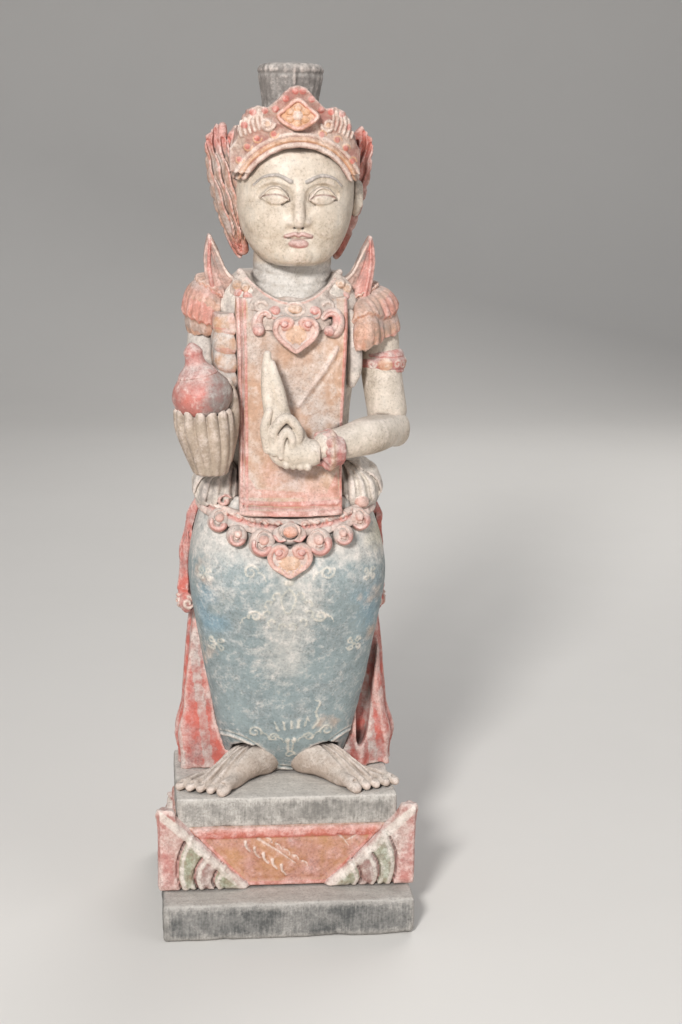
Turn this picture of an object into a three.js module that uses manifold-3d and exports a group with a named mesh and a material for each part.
// A carved and painted wooden temple figure: a crowned deity, half seated, on a stepped lotus base.
// Millimetres, +Z up. The figure faces -Y, and its own right hand is on the -X side.
// The origin is the middle of the underside of the plinth.
import * as THREE from "three";
import { mergeVertices } from "three/addons/utils/BufferGeometryUtils.js";
import Module from "manifold-3d";

const wasm = await Module();
wasm.setup();

// ---------------------------------------------------------------- driving dimensions
const HEIGHT = 400;
const WIDTH = 124; // over the tips of the front corner leaves
const DEPTH = 108; // of the plinth
const GAP = 0.3; // glue gap between neighbouring pieces

const LEVEL = {
  plinth: 18,
  tier: 49,
  stand: 62.5,
  knee: 170,
  hip: 206,
  neck: 297,
  chin: 311.5,
  crown: 389,
  scalp: 379,
};
const FOOT_Z = LEVEL.stand + GAP;
const TIER = { half: 51.5, front: 34 }; // half width and half depth of the lotus tier's core
const PLINTH_HALF = 59;
const LEAF = { thick: 3.2, tip: 60.5, flareFrom: 42, frontCorner: 60, backCorner: 56 };
const STAND = { half: 52.5, front: 33.9, edge: 1 };
const DOWEL = { r: 4, x: 34, low: 8, high: 58 };
const SPINE = { r: 4.5, y: 17.5, low: 53, high: 88 };
const NECK_PEG = { r: 4.5, y: -4, low: 284, high: 322 };
const HEAD_X = 1.6; // the head sits a little to the figure's left
const TOPKNOT = { low: 12.5, high: 15, y: -4, tenon: 5, deep: 366 };
const POT = { at: [-40.5, -39, 255], r: 13.7, lean: -12 };

// ---------------------------------------------------------------- finishes
const finish = (color, roughness = 0.8) =>
  new THREE.MeshStandardMaterial({ color, roughness, metalness: 0 });
const FINISH = {
  bare: finish(0x6f6a60, 0.9),
  red: finish(0xb5503f),
  gold: finish(0xb08a5a, 0.7),
  skin: finish(0xb8a68c, 0.75),
  blue: finish(0x7f929b),
  cloth: finish(0xa39d92, 0.85),
  hair: finish(0x55524c, 0.85),
  peg: finish(0x9a7a50, 0.7),
};

// ---------------------------------------------------------------- solids
// A closed three.js geometry as a manifold-3d solid.
function solidOf(geometry) {
  const bare = geometry.clone();
  bare.deleteAttribute("normal");
  bare.deleteAttribute("uv");
  const merged = mergeVertices(bare, 1e-4);
  return new wasm.Manifold(
    new wasm.Mesh({
      numProp: 3,
      vertProperties: merged.attributes.position.array,
      triVerts: new Uint32Array(merged.index.array),
    }),
  );
}

// A manifold-3d solid as a flat-shaded three.js geometry.
function geometryOf(solid) {
  const mesh = solid.getMesh();
  const geometry = new THREE.BufferGeometry();
  geometry.setAttribute("position", new THREE.BufferAttribute(mesh.vertProperties, mesh.numProp));
  geometry.setIndex(new THREE.BufferAttribute(mesh.triVerts, 1));
  const flat = geometry.toNonIndexed();
  flat.computeVertexNormals();
  return flat;
}

const join = (...solids) => solids.reduce((all, one) => all.add(one));
const carve = (solid, ...cutters) => cutters.reduce((left, one) => left.subtract(one), solid);
const mirrored = (solid) => solid.mirror([1, 0, 0]);

// The largest body of a solid, for a cut that leaves loose slivers behind.
function mainBody(solid) {
  return solid.decompose().reduce((best, one) => (one.volume() > best.volume() ? one : best));
}

// A cylinder whose rings are moved by place(ring, cos, sin); its cap centres come in as (0, 0).
function ringed(rings, sides, place) {
  const geometry = new THREE.CylinderGeometry(1, 1, 1, sides, rings - 1).rotateX(Math.PI / 2);
  const at = geometry.attributes.position;
  for (let i = 0; i < at.count; i++) {
    const ring = Math.round((at.getZ(i) + 0.5) * (rings - 1));
    at.setXYZ(i, ...place(ring, at.getX(i), at.getY(i)));
  }
  return solidOf(geometry);
}

// A cosine or sine drawn out towards a square; rounding noise near zero is dropped first.
function superellipse(v, power) {
  return Math.abs(v) < 1e-6 ? 0 : Math.sign(v) * Math.abs(v) ** (2 / power);
}

// Superellipse sections stacked along Z. A row is [z, half width, front y, back y, middle x].
function stack(rows, { grow = 0, sides = 20, square = 2.5 } = {}) {
  const last = rows.length - 1;
  return ringed(rows.length, sides, (ring, c, s) => {
    const [z, half, front, back, middle = 0] = rows[ring];
    const lift = ring === 0 ? -grow : ring === last ? grow : 0;
    const halfDepth = (back - front) / 2 + grow;
    return [
      middle + (half + grow) * superellipse(c, square),
      (front + back) / 2 + halfDepth * superellipse(s, square),
      z + lift,
    ];
  });
}

// A round limb along a smooth path, with a radius at each of its points and blunt round ends.
function limb(points, radii, { grow = 0, sides = 9, rings = 7 } = {}) {
  const path = new THREE.CatmullRomCurve3(points.map((p) => new THREE.Vector3(...p)));
  const share = Array.from({ length: rings }, (_, i) => 0.5 - 0.5 * Math.cos((Math.PI * i) / (rings - 1)));
  const ends = [0.55, 0.88];
  const frames = path.computeFrenetFrames(rings - 1);
  return ringed(rings, sides, (ring, c, s) => {
    const t = share[ring];
    const along = t * (radii.length - 1);
    const low = Math.min(Math.floor(along), radii.length - 2);
    const r = THREE.MathUtils.lerp(radii[low], radii[low + 1], along - low);
    const blunt = ends[Math.min(ring, rings - 1 - ring)] ?? 1;
    const p = path.getPointAt(t);
    p.addScaledVector(frames.normals[ring], c * (r * blunt + grow));
    p.addScaledVector(frames.binormals[ring], s * (r * blunt + grow));
    if (ring === 0) p.addScaledVector(frames.tangents[0], -grow);
    if (ring === rings - 1) p.addScaledVector(frames.tangents[ring], grow);
    return p.toArray();
  });
}

// An ellipsoid, with turn as Euler angles in degrees.
function egg(at, radii, { grow = 0, turn = [0, 0, 0], across = 12, down = 7 } = {}) {
  const geometry = new THREE.SphereGeometry(1, across, down).rotateX(Math.PI / 2);
  geometry.scale(...radii.map((r) => r + grow));
  const angles = turn.map(THREE.MathUtils.degToRad);
  geometry.applyMatrix4(new THREE.Matrix4().makeRotationFromEuler(new THREE.Euler(...angles)));
  return solidOf(geometry.translate(...at));
}

function box(low, high) {
  const size = high.map((v, i) => v - low[i]);
  const middle = high.map((v, i) => (v + low[i]) / 2);
  return solidOf(new THREE.BoxGeometry(...size).translate(...middle));
}

// An upright round peg.
function peg(r, low, high, x, y, grow = 0) {
  const geometry = new THREE.CylinderGeometry(r + grow, r + grow, high - low + 2 * grow, 20);
  return solidOf(geometry.rotateX(Math.PI / 2).translate(x, y, (low + high) / 2));
}

// A flat board cut to an outline in the XZ plane, from y = front to y = back.
function board(shape, front, back, curveSegments = 5) {
  const geometry = new THREE.ExtrudeGeometry(shape, {
    depth: back - front,
    bevelEnabled: false,
    curveSegments,
  });
  return solidOf(geometry.rotateX(Math.PI / 2).translate(0, back, 0));
}

// A closed outline through hand-placed points, smooth or straight-sided.
function outline(points, smooth = true) {
  const dots = points.map((p) => new THREE.Vector2(...p));
  const shape = new THREE.Shape().moveTo(...points[0]);
  if (smooth) shape.splineThru([...dots.slice(1), dots[0]]);
  else dots.slice(1).forEach((p) => shape.lineTo(p.x, p.y));
  return shape;
}

// A slab with rounded corners and bevelled edges, standing on z = low.
function slab(half, front, low, high, bevel) {
  const round = 2;
  const x = half - bevel;
  const y = front - bevel;
  const shape = new THREE.Shape();
  shape.absarc(x - round, y - round, round, 0, Math.PI / 2);
  shape.absarc(-x + round, y - round, round, Math.PI / 2, Math.PI);
  shape.absarc(-x + round, -y + round, round, Math.PI, Math.PI * 1.5);
  shape.absarc(x - round, -y + round, round, Math.PI * 1.5, Math.PI * 2);
  const geometry = new THREE.ExtrudeGeometry(shape, {
    depth: high - low - 2 * bevel,
    bevelThickness: bevel,
    bevelSize: bevel,
    bevelSegments: 1,
    curveSegments: 3,
  });
  return solidOf(geometry.translate(0, 0, low + bevel));
}

// ---------------------------------------------------------------- the base
const baseDowel = (side, grow = 0) => peg(DOWEL.r, DOWEL.low, DOWEL.high, side * DOWEL.x, 0, grow);
const spine = (grow = 0) => peg(SPINE.r, SPINE.low, SPINE.high, 0, SPINE.y, grow);
const baseDowels = () => join(baseDowel(-1, GAP), baseDowel(1, GAP));

function plinth() {
  return carve(slab(PLINTH_HALF, DEPTH / 2, 0, LEVEL.plinth, 1), baseDowels());
}

// The tier's core, with a raised trapezoid panel on each of its four faces.
function lotusTier() {
  const low = LEVEL.plinth + GAP;
  const high = LEVEL.tier - GAP;
  const panel = (top, bottom, face) =>
    board(
      outline([[-bottom, low + 0.4], [bottom, low + 0.4], [top, high - 0.6], [-top, high - 0.6]], false),
      -face - 1.4,
      -face + 2,
    );
  const front = panel(46, 19, TIER.front);
  const side = panel(22, 6, TIER.half).rotate([0, 0, 90]);
  const core = slab(TIER.half, TIER.front, low, high, 0.4);
  return carve(join(core, front, front.rotate([0, 0, 180]), side, side.rotate([0, 0, 180])), baseDowels());
}

// A cluster of lotus leaves folded round the right front corner of the tier, its outer edge at
// x = -corner, with one outline on the front face and one on the side face.
function leafPair(frontFace, sideFace, corner) {
  const inner = TIER.half + GAP;
  const front = board(outline(frontFace, false), -LEAF.thick, 0).translate([-corner, 0, 0]);
  const side = board(outline(sideFace, false), inner - corner, 0).mirror([1, 0, 0]).rotate([0, 0, -90]);
  return join(front, side.translate([-inner, -LEAF.thick, 0])).translate([0, -TIER.front - GAP, 0]);
}

// At the front the clusters rise past the tier to a tip that flares up and out.
function frontLeaves() {
  const low = LEVEL.plinth + GAP;
  const face = (reach) => [[0, low], [reach, low], [8, LEVEL.tier - 1], [5, 53], [0, LEAF.tip], [0, 40]];
  const flare = WIDTH / 2 - LEAF.frontCorner;
  const leaves = leafPair(face(40), face(26), LEAF.frontCorner).refine(2).warp((v) => {
    const up = Math.max(0, (v[2] - LEAF.flareFrom) / (LEAF.tip - LEAF.flareFrom)) ** 2;
    v[0] -= flare * up;
    v[1] -= flare * up * 0.8;
  });
  const { half, front } = STAND;
  return carve(leaves, box([-half - GAP, -front - GAP, LEVEL.tier - GAP], [half, front, HEIGHT]));
}

// At the back they stay low.
function backLeaves() {
  const low = LEVEL.plinth + GAP;
  const face = (reach) => [[0, low], [reach, low], [9, 33], [3, 36], [0, 36]];
  return leafPair(face(30), face(24), LEAF.backCorner).mirror([0, 1, 0]);
}

function stand() {
  const block = slab(STAND.half, STAND.front, LEVEL.tier, LEVEL.stand, STAND.edge);
  return carve(block, baseDowels(), spine(GAP));
}

// ---------------------------------------------------------------- legs and drapery
const SKIRT = [
  [FOOT_Z, 28, 0, 26, 1.5],
  [72, 30, -6, 26, 1.5],
  [85, 33, -13, 25, 1.5],
  [110, 38, -21, 24, 1.5],
  [140, 43, -31, 24, 1],
  [160, 46, -38, 24, 0.7],
  [LEVEL.knee + 2, 46.3, -40, 24, 0.5],
  [184, 44.5, -38, 24, 0.3],
  [196, 41, -33, 23],
  [LEVEL.hip, 37, -29, 22],
];
const DRAPE = [
  [FOOT_Z, 53.5, 2, 33, 2.5],
  [80, 52.5, 2, 33, 2.5],
  [102, 49.5, 2, 33, 2],
  [130, 47, 3, 32, 1.5],
  [155, 44, 3, 32, 1],
  [185, 40, 4, 31],
  [LEVEL.hip + 1, 36, 5, 30],
];
const skirtForm = (grow = 0) => stack(SKIRT, { grow });
const drapeForm = (grow = 0) => stack(DRAPE, { grow, square: 3.5, sides: 16 });

// The right foot, turned out 46 degrees: heel, instep and five toes, flat underneath.
function foot(grow = 0) {
  const heel = egg([0, -2, 9], [8.5, 11, 12], { grow });
  const instep = limb([[0, 0, 9], [0, -16, 8], [0, -34, 3.5]], [9.5, 10, 6], { grow, rings: 6 });
  const toes = [-9, -4.5, 0, 4.2, 8].map((x, i) => {
    const length = 49 - i * 2.2;
    const knuckles = [[x * 0.75, -26, 4], [x, -37, 3.6], [x * 1.12, -length, 2.6]];
    return limb(knuckles, [3, 2.8, 2.2], { grow, sides: 6, rings: 5 });
  });
  const whole = join(heel, instep, ...toes).rotate([0, 0, -46]).translate([-9, 3, FOOT_Z]);
  return whole.trimByPlane([0, 0, 1], FOOT_Z - grow);
}
const footLeft = (grow = 0) => mirrored(foot(grow)).translate([2, 0, 0]);

const skirt = () => mainBody(carve(skirtForm(), foot(GAP), footLeft(GAP), spine(GAP)));
const backDrape = () => carve(drapeForm(), skirtForm(GAP), torsoForm(GAP));

// A hanging sash end beside the thigh, with a curled tip; the left one hangs closer in.
function sideSash(side) {
  const x = side < 0 ? 0 : 2.5;
  const path = [[38.5, 1, 204], [43, 0, 192], [46 - x, 0, 172], [47 - x, 0, 153]];
  const fall = limb(path.map(([out, y, z]) => [side * out, y, z]), [3, 3.6, 4, 4.4]);
  const curl = egg([side * (46.5 - x), -1, 150], [4.2, 4.6, 6]);
  return mainBody(carve(join(fall, curl), skirtForm(GAP), drapeForm(GAP), beltForm(GAP)));
}

// The gathered waistcloth over one hip, with a hollow where the forearm lies on it.
function hipFold() {
  const bulge = egg([-32, -13, 209], [12.5, 15, 14], { turn: [0, 0, 20] }).trimByPlane([0, 0, 1], 200);
  const below = [skirtForm(GAP), drapeForm(GAP), beltForm(GAP)];
  const beside = [torsoForm(GAP), apronForm(GAP), forearmRight(GAP)];
  return mainBody(carve(bulge, ...below, ...beside));
}

// ---------------------------------------------------------------- belt
const BELT = { low: 189.5, high: 197.5, proud: 2.6, sag: 8, hip: 40 };
const BELT_PENDANT = { x: -1, z: 180.5 };

// Everything between two heights, on a curve that sags in the middle of the lap.
function saggingBand(low, high) {
  const steps = [-60, -45, -30, -15, 0, 15, 30, 45, 60];
  const lift = (x) => BELT.sag * (x / BELT.hip) ** 2;
  const under = steps.map((x) => [x, low + lift(x)]);
  const over = steps.map((x) => [x, high + lift(x)]).reverse();
  return board(outline([...under, ...over], false), -60, 60);
}

function beltForm(grow = 0) {
  const around = join(skirtForm(BELT.proud + grow), drapeForm(BELT.proud + grow));
  return around.intersect(saggingBand(BELT.low - grow, BELT.high + grow));
}

const belt = () => mainBody(carve(beltForm(), skirtForm(GAP), drapeForm(GAP), torsoForm(GAP)));
const onSkirt = (solid) => mainBody(carve(solid, skirtForm(GAP), beltForm(GAP)));

// Scroll beads hang from the belt: [x, y, z, half width, half height], from the middle outwards.
const BELT_SCROLLS = [
  [13, -36, 187.5, 6.2, 6.6],
  [24.3, -33, 190.3, 5, 5],
  [32, -26, 196, 4.4, 5.6],
];

function beltScroll(side, [x, y, z, wide, high]) {
  const turn = side * THREE.MathUtils.radToDeg(Math.atan2(x, -y)) * 0.7;
  const bead = egg([side * x - 0.5, y - 2, z], [wide, 5, high], { turn: [0, 0, turn] });
  return mainBody(carve(onSkirt(bead), heartBoard(BELT_PENDANT, GAP), apronForm(GAP)));
}

// A heart with its point down, as an outline about its own middle.
function heart(half, up, down) {
  const shape = new THREE.Shape().moveTo(0, up * 0.55);
  shape.bezierCurveTo(half * 0.25, up * 1.1, half, up * 1.1, half, up * 0.2);
  shape.bezierCurveTo(half, -down * 0.5, half * 0.35, -down * 0.75, 0, -down);
  shape.bezierCurveTo(-half * 0.35, -down * 0.75, -half, -down * 0.5, -half, up * 0.2);
  shape.bezierCurveTo(-half, up * 1.1, -half * 0.25, up * 1.1, 0, up * 0.55);
  return shape;
}

// The heart boards of belt and collar, and the space a grown one takes.
function heartBoard({ x, z, front = -43, back = -34, half = 10.5, up = 8, down = 8.5 }, grow = 0) {
  return board(heart(half + grow, up + grow, down + grow), front - grow, back).translate([x, 0, z]);
}

const beltPendant = () => onSkirt(heartBoard(BELT_PENDANT));

function beltJewel() {
  const diamond = outline([[-6, 0], [0, -4.4], [6, 0], [0, 4.4]], false);
  const gem = board(diamond, -44, -36).translate([BELT_PENDANT.x, 0, 193.4]);
  return mainBody(carve(gem, skirtForm(GAP), beltForm(GAP), heartBoard(BELT_PENDANT, GAP)));
}

// ---------------------------------------------------------------- torso
const TORSO = [
  [LEVEL.hip + GAP, 30, -24, 20],
  [222, 28, -23, 18],
  [245, 29.5, -24, 19],
  [265, 32, -26, 20],
  [280, 34, -26, 20.5],
  [290, 34, -24, 20],
  [LEVEL.neck, 29, -20, 17],
  [302, 20, -17, 12],
];
const torsoForm = (grow = 0) => stack(TORSO, { grow });
const neckPeg = (grow = 0) => peg(NECK_PEG.r, NECK_PEG.low, NECK_PEG.high, 0, NECK_PEG.y, grow);
const torso = () => carve(torsoForm(), neckPeg(GAP));

// The long front panel, from the collar to just over the belt.
const APRON = [
  [BELT.high + 2, 23.5, -37.5, 0],
  [206, 23.5, -35.5, 0],
  [222, 23.5, -32, 0],
  [250, 24, -30.5, 0],
  [275, 25, -31, 0],
  [291, 25.5, -29, 0],
];
const apronForm = (grow = 0) => stack(APRON, { grow, square: 8, sides: 20 });
const APRON_BACK = 12; // the panel is kept only where it is at least this far forward

function apron() {
  const panel = carve(apronForm(), torsoForm(GAP), skirtForm(GAP), beltForm(GAP));
  return mainBody(panel.trimByPlane([0, -1, 0], APRON_BACK));
}

// A strip of layered leaf cloth between the apron and the arm.
const VEST = [
  [256, 4.6, -26, -6, 28.5],
  [260, 5.2, -27.5, -6, 28.5],
  [274, 6, -28.5, -6, 29.5],
  [290, 6, -27, -6, 29],
];
function vestPanel(side, arm) {
  const rows = VEST.map(([z, half, front, back, x]) => [z, half, front, back, side * x]);
  const body = [torsoForm(GAP), apronForm(GAP), collarForm(GAP)];
  const shoulder = [arm(GAP), sleeveForm(side, GAP), wingSpace(side)];
  return mainBody(carve(stack(rows, { sides: 12, square: 4 }), ...body, ...shoulder));
}

// ---------------------------------------------------------------- collar
const COLLAR = [
  [283, 27, -32.5, -5],
  [288, 28, -32.5, 8],
  [295, 25.5, -29.5, 12],
  [301.5, 20.5, -24.5, 13],
];
const collarForm = (grow = 0) => stack(COLLAR, { grow, square: 2.8 });
const collar = () => mainBody(carve(collarForm(), torsoForm(GAP), apronForm(GAP), neckForm(GAP)));
const onChest = (solid) => mainBody(carve(solid, torsoForm(GAP), apronForm(GAP), collarForm(GAP)));
const COLLAR_PENDANT = { x: 1, z: 283.5, front: -37, back: -28, up: 7, down: 10 };
const collarPendant = () => onChest(heartBoard(COLLAR_PENDANT));

function collarScroll(side) {
  const bead = egg([side * 16.5 + 1, -32, 285.5], [5.6, 4, 6.4]);
  return mainBody(carve(onChest(bead), heartBoard(COLLAR_PENDANT, GAP)));
}

// ---------------------------------------------------------------- shoulders and arms
// A pointed flame that stands beside the neck.
function shoulderWing() {
  const flame = outline([
    [-36.5, 323.5], [-33, 317], [-29.5, 308.5], [-24, 304], [-20.5, 301], [-22, 295], [-30, 288],
    [-35, 289], [-37.5, 300], [-38.8, 312],
  ]);
  return mainBody(carve(board(flame, -13, -6.5, 2), torsoForm(GAP), collarForm(GAP)));
}

const SLEEVE = [
  [280, 9.4, -16.5, 13.5, 41],
  [282, 10.2, -17, 14, 40.8],
  [289, 9.6, -15.5, 12.5, 38.8],
  [296, 7, -13, 10, 35.5],
  [300, 3.5, -9, 6, 33],
];
function sleeveForm(side, grow = 0) {
  const rows = SLEEVE.map(([z, half, front, back, x]) => [z, half, front, back, side * x]);
  return stack(rows, { grow, square: 2.3, sides: 18 });
}
const wingSpace = (side) => box([side * 30 - 11, -13 - GAP, 286], [side * 30 + 11, -6.5 + GAP, 325]);

function epaulette(side, arm) {
  return mainBody(carve(sleeveForm(side), torsoForm(GAP), arm(GAP), wingSpace(side), collarForm(GAP)));
}

const upperArmRight = (grow = 0) =>
  limb([[-41, -2, 291], [-42, -2, 266], [-42, 2, 242]], [7.6, 7.6, 7.4], { grow });
const forearmRight = (grow = 0) =>
  limb([[-42, 6, 235], [-41, -12, 227], [-37, -35, 217]], [8, 7.4, 5.6], { grow });
const upperArmLeft = (grow = 0) =>
  limb([[41, -2, 291], [44.5, -3, 266], [48, -10, 241]], [7.6, 7.6, 7.8], { grow });
const forearmLeft = (grow = 0) =>
  limb([[51, -10, 229], [36, -28, 229.5], [16, -41, 231]], [8.6, 8, 6.8], { grow });

function armRing(from, to, r, inside) {
  return mainBody(carve(limb([from, to], [r, r], { rings: 5, sides: 14 }), inside(GAP), torsoForm(GAP)));
}

// The right hand is a tapering cup of long fingers that holds the pot from below.
const CUP = [
  [216.5, 5.6, -44, -32, -36.5],
  [224, 8, -46.5, -29, -37],
  [233, 10.6, -49, -27, -38.5],
  [242, 12.6, -51, -26.5, -39.8],
  [248, 13, -51.5, -26.5, -40.2],
];
function handRight() {
  const knuckles = [[-29, -33, 226], [-26.5, -35, 244], [-28.5, -38, 262]];
  const thumb = limb(knuckles, [3.4, 3.2, 2.6], { sides: 8, rings: 6 });
  const cup = join(stack(CUP, { sides: 20, square: 2.3 }), thumb);
  return carve(cup, potForm(GAP), forearmRight(GAP));
}

// The pot leans outwards: a round body, and a necked stopper that sits on it.
function leaning(profile) {
  const points = profile.map(([r, z]) => new THREE.Vector2(r, z));
  const geometry = new THREE.LatheGeometry(points, 24).rotateX(Math.PI / 2);
  return solidOf(geometry).rotate([0, POT.lean, 0]).translate(POT.at);
}
const potForm = (grow = 0) =>
  leaning([
    [0, -11 - grow],
    [6, -10.2 - grow],
    [11, -6.5 - grow / 2],
    [POT.r + grow, 0],
    [12, 5.5 + grow / 2],
    [8.8, 8.8 + grow],
    [0, 9 + grow],
  ]);
const STOPPER = [[0, 9 + GAP], [8.4, 9 + GAP], [7.2, 12], [4.6, 15], [3.8, 20], [2.6, 23], [0, 24]];
const stopper = () => leaning(STOPPER);

// The left hand is raised: a palm on edge, two long fingers up, two folded, and the thumb.
function handLeft() {
  const palm = egg([-2.5, -43, 235], [9, 5.4, 12.5]);
  const heel = limb([[8, -43.5, 230], [0, -44, 229]], [6.2, 6.4], { sides: 8, rings: 5 });
  const fingers = [0, 4.6].map((x) => {
    const joints = [[x - 8, -43, 240], [x - 11.5, -44, 258], [x - 12 - x * 0.5, -44.5, 275]];
    return limb(joints, [3.1, 2.9, 1.8], { sides: 8, rings: 6 });
  });
  const folded = [0, 5.2].map((x) => {
    const joints = [[x - 4, -46, 244], [x - 2, -48.6, 248], [x, -48.6, 240]];
    return limb(joints, [2.6, 2.6, 2.4], { sides: 6, rings: 6 });
  });
  return mainBody(carve(join(palm, heel, ...fingers, ...folded), forearmLeft(GAP), apronForm(GAP)));
}

function cuffLeft() {
  const ring = armRing([21, -38.5, 231], [12, -43.5, 230.5], 9.4, forearmLeft);
  return mainBody(carve(ring, apronForm(GAP), handLeft()));
}

// ---------------------------------------------------------------- head
const NECK = [
  [LEVEL.neck - 2, 19.5, -23, 13, HEAD_X],
  [302, 18.5, -21.5, 12, HEAD_X],
  [318, 17.5, -20, 11, HEAD_X],
];
const neckForm = (grow = 0) => stack(NECK, { grow, sides: 18, square: 2.2 });
const HEAD = [
  [LEVEL.chin, 9, -32, -12, HEAD_X],
  [314, 15, -34.5, -4, HEAD_X],
  [320, 20.5, -36, 4, HEAD_X],
  [330, 25, -36.5, 12, HEAD_X],
  [342, 27, -36.5, 17, HEAD_X],
  [355, 26.5, -36, 18, HEAD_X],
  [366, 24, -33, 16, 1],
  [374, 20, -28, 11, 0.5],
  [LEVEL.scalp, 12, -20, 4],
];
const headForm = (grow = 0) => stack(HEAD, { grow, square: 2.2 });

function head() {
  const nose = egg([HEAD_X, -36.5, 335], [2.9, 3.6, 6], { across: 8, down: 6 });
  const lips = egg([HEAD_X, -36, 324.5], [5, 1.8, 2], { across: 10, down: 4 });
  const brows = [-10, 10].map((x) => egg([HEAD_X + x, -35, 347.5], [7, 2, 1.4], { across: 10, down: 4 }));
  const whole = join(headForm(), neckForm(), nose, lips, ...brows);
  return carve(whole, torsoForm(GAP), neckPeg(GAP), tenonForm(GAP));
}

const earForm = (side, grow = 0) =>
  egg([HEAD_X + side * 28.5, -6, 341], [3.2, 5, 9], { grow, turn: [10, 0, 0] });
const ear = (side) => mainBody(carve(earForm(side), headForm(GAP), crownForm(GAP)));

// The crown is a shell round the skull whose front rises to a peak over an arch above the face.
const CROWN = [
  [349, 29, -38.8, 21, HEAD_X],
  [360, 29, -39.2, 21.5, 1.2],
  [368, 27.5, -37.5, 20, 0.8],
  [372, 26, -34, 17, 0.5],
];
const crownForm = (grow = 0) => stack(CROWN, { grow, square: 2.3 });
const DIADEM = {
  half: [
    [28.2, 352], [28.4, 362], [25.5, 366], [22.5, 378], [17, 380.5], [12.5, 379.5], [8, 383.5], [4, 388],
  ],
  front: -41.5,
  back: -36.5,
  bend: 62, // radius-like divisor of the curve round the brow
};

function crown() {
  const left = DIADEM.half.map(([x, z]) => [x + (z < 370 ? 1 : 0), z]);
  const right = DIADEM.half.map(([x, z]) => [-x, z]).reverse();
  const flat = board(outline([...left, [0, LEVEL.crown], ...right], false), DIADEM.front, DIADEM.back);
  const front = flat.refine(2).warp((v) => {
    v[1] += v[0] ** 2 / DIADEM.bend;
  });
  const arch = solidOf(new THREE.CylinderGeometry(25, 25, 40, 24).translate(HEAD_X, -32, 338));
  return mainBody(carve(join(crownForm(), front), arch, headForm(GAP), tenonForm(GAP), topknotForm(GAP)));
}

function crownJewel() {
  const frame = outline([[-10.5, -2], [0, -6.5], [10.5, -2], [0, 8.5]], false);
  return board(frame, DIADEM.front - 2, DIADEM.front - GAP).translate([0, 0, 373.5]);
}

// The flame-shaped ornament behind each ear.
function earOrnament(side) {
  const flame = [
    [33, 373], [35.5, 368.5], [38, 366.5], [37.5, 352], [33.5, 335], [27, 319], [22.5, 312.5],
    [20.5, 316], [20, 330], [22, 352], [27, 366],
  ];
  const plate = board(outline(flame.map(([x, z]) => [side * x, z])), -3.5, 2.5, 2);
  return mainBody(carve(plate, headForm(GAP), crownForm(GAP), earForm(side, 2 * GAP)));
}

function turned(profile, grow = 0) {
  const points = profile.map(([r, z]) => new THREE.Vector2(r ? r + grow : 0, z));
  return solidOf(new THREE.LatheGeometry(points, 24).rotateX(Math.PI / 2).translate(0, TOPKNOT.y, 0));
}
const tenonForm = (grow = 0) => peg(TOPKNOT.tenon, TOPKNOT.deep, 382, 0, TOPKNOT.y, grow);
function topknotForm(grow = 0) {
  const foot = LEVEL.scalp + GAP - grow;
  const bun = [[0, foot], [TOPKNOT.low, foot], [13.6, 388], [TOPKNOT.high, 396], [12.6, 398.8]];
  return turned([...bun, [7, HEIGHT - 0.2], [0, HEIGHT]], grow);
}
const topknot = () => join(topknotForm(), tenonForm());

// ---------------------------------------------------------------- assembly
const statue = new THREE.Group();

function section(z) {
  const group = new THREE.Group();
  group.position.z = z;
  statue.add(group);
  return group;
}

// Adds one named mesh to a group, its geometry centred on its own middle.
function add(group, name, solid, material) {
  const geometry = geometryOf(solid);
  geometry.computeBoundingBox();
  const middle = geometry.boundingBox.getCenter(new THREE.Vector3());
  geometry.translate(-middle.x, -middle.y, -middle.z);
  const mesh = new THREE.Mesh(geometry, material);
  mesh.name = name;
  mesh.position.copy(middle).sub(group.position);
  group.add(mesh);
}

// The same piece on both sides: make(side) returns the solid, with side -1 for the figure's right.
function addSides(group, name, make, material) {
  add(group, `${name}_right`, make(-1), material);
  add(group, `${name}_left`, make(1), material);
}

// A piece made for the figure's right, and its mirror image.
const addPair = (group, name, solid, material) =>
  addSides(group, name, (side) => (side < 0 ? solid : mirrored(solid)), material);

const base = section(0);
add(base, "plinth", plinth(), FINISH.bare);
add(base, "lotus_tier", lotusTier(), FINISH.red);
addPair(base, "corner_leaves_front", frontLeaves(), FINISH.red);
addPair(base, "corner_leaves_back", backLeaves(), FINISH.red);
add(base, "stand_block", stand(), FINISH.bare);
addSides(base, "base_dowel", (side) => baseDowel(side), FINISH.peg);
add(base, "figure_dowel", spine(), FINISH.peg);

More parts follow.
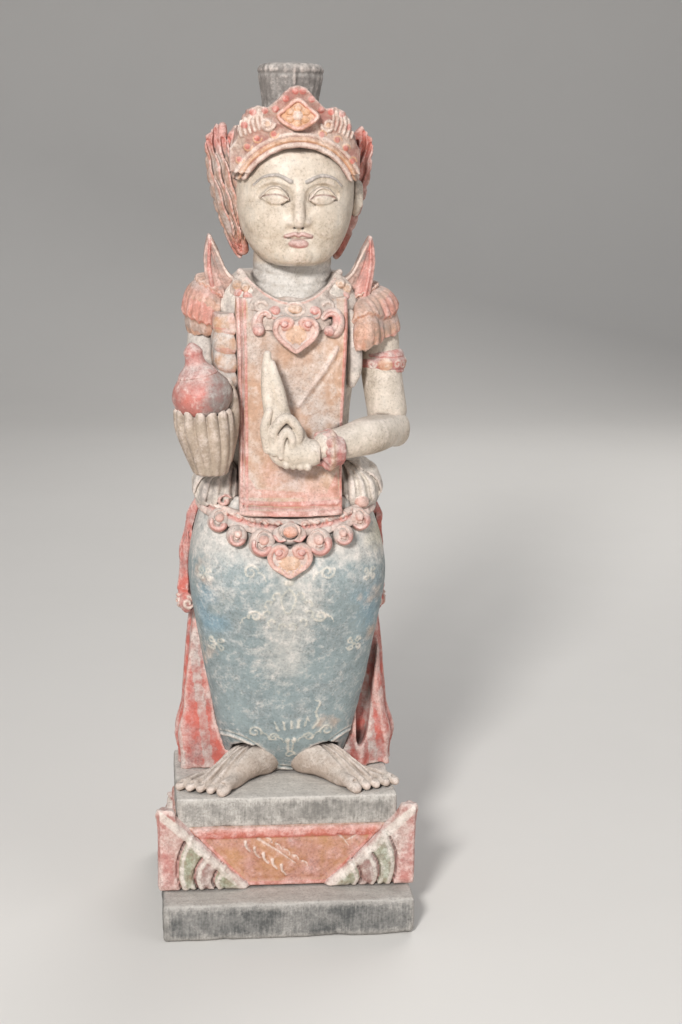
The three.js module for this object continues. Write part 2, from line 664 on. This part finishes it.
const legs = section(LEVEL.stand);
add(legs, "foot_right", foot(), FINISH.skin);
add(legs, "foot_left", footLeft(), FINISH.skin);
add(legs, "skirt", skirt(), FINISH.blue);
add(legs, "back_drape", backDrape(), FINISH.red);
addSides(legs, "side_sash", sideSash, FINISH.red);
addPair(legs, "hip_fold", hipFold(), FINISH.cloth);
add(legs, "belt", belt(), FINISH.red);
BELT_SCROLLS.forEach((row, i) => {
  addSides(legs, `belt_scroll_${i + 1}`, (side) => beltScroll(side, row), FINISH.red);
});
add(legs, "belt_jewel", beltJewel(), FINISH.gold);
add(legs, "belt_pendant", beltPendant(), FINISH.red);

const body = section(LEVEL.hip);
const armOf = (side) => (side < 0 ? upperArmRight : upperArmLeft);
add(body, "torso", torso(), FINISH.cloth);
add(body, "apron_panel", apron(), FINISH.gold);
addSides(body, "vest_panel", (side) => vestPanel(side, armOf(side)), FINISH.gold);
add(body, "collar", collar(), FINISH.cloth);
addSides(body, "collar_scroll", collarScroll, FINISH.red);
add(body, "collar_pendant", collarPendant(), FINISH.red);
addPair(body, "shoulder_wing", shoulderWing(), FINISH.red);
addSides(body, "epaulette", (side) => epaulette(side, armOf(side)), FINISH.red);

const arms = section(LEVEL.neck);
add(arms, "upper_arm_right", carve(upperArmRight(), torsoForm(GAP), forearmRight(GAP)), FINISH.skin);
add(arms, "upper_arm_left", carve(upperArmLeft(), torsoForm(GAP), forearmLeft(GAP)), FINISH.skin);
add(arms, "armband_right", armRing([-42, -2, 261], [-42, -2, 271], 9.4, upperArmRight), FINISH.red);
add(arms, "armband_left", armRing([45, -4, 260], [44, -3, 271], 9.6, upperArmLeft), FINISH.red);
add(arms, "forearm_right", mainBody(carve(forearmRight(), torsoForm(GAP))), FINISH.skin);
add(arms, "forearm_left", mainBody(carve(forearmLeft(), torsoForm(GAP), apronForm(GAP))), FINISH.skin);
add(arms, "cuff_left", cuffLeft(), FINISH.red);
add(arms, "hand_right", handRight(), FINISH.skin);
add(arms, "hand_left", handLeft(), FINISH.skin);
add(arms, "pot", potForm(), FINISH.red);
add(arms, "pot_stopper", stopper(), FINISH.red);

const top = section(LEVEL.chin);
add(top, "head", head(), FINISH.skin);
add(top, "neck_peg", neckPeg(), FINISH.peg);
addSides(top, "ear", ear, FINISH.skin);
addSides(top, "ear_ornament", earOrnament, FINISH.red);
add(top, "crown", crown(), FINISH.red);
add(top, "crown_jewel", crownJewel(), FINISH.gold);
add(top, "topknot", topknot(), FINISH.hair);

export default statue;
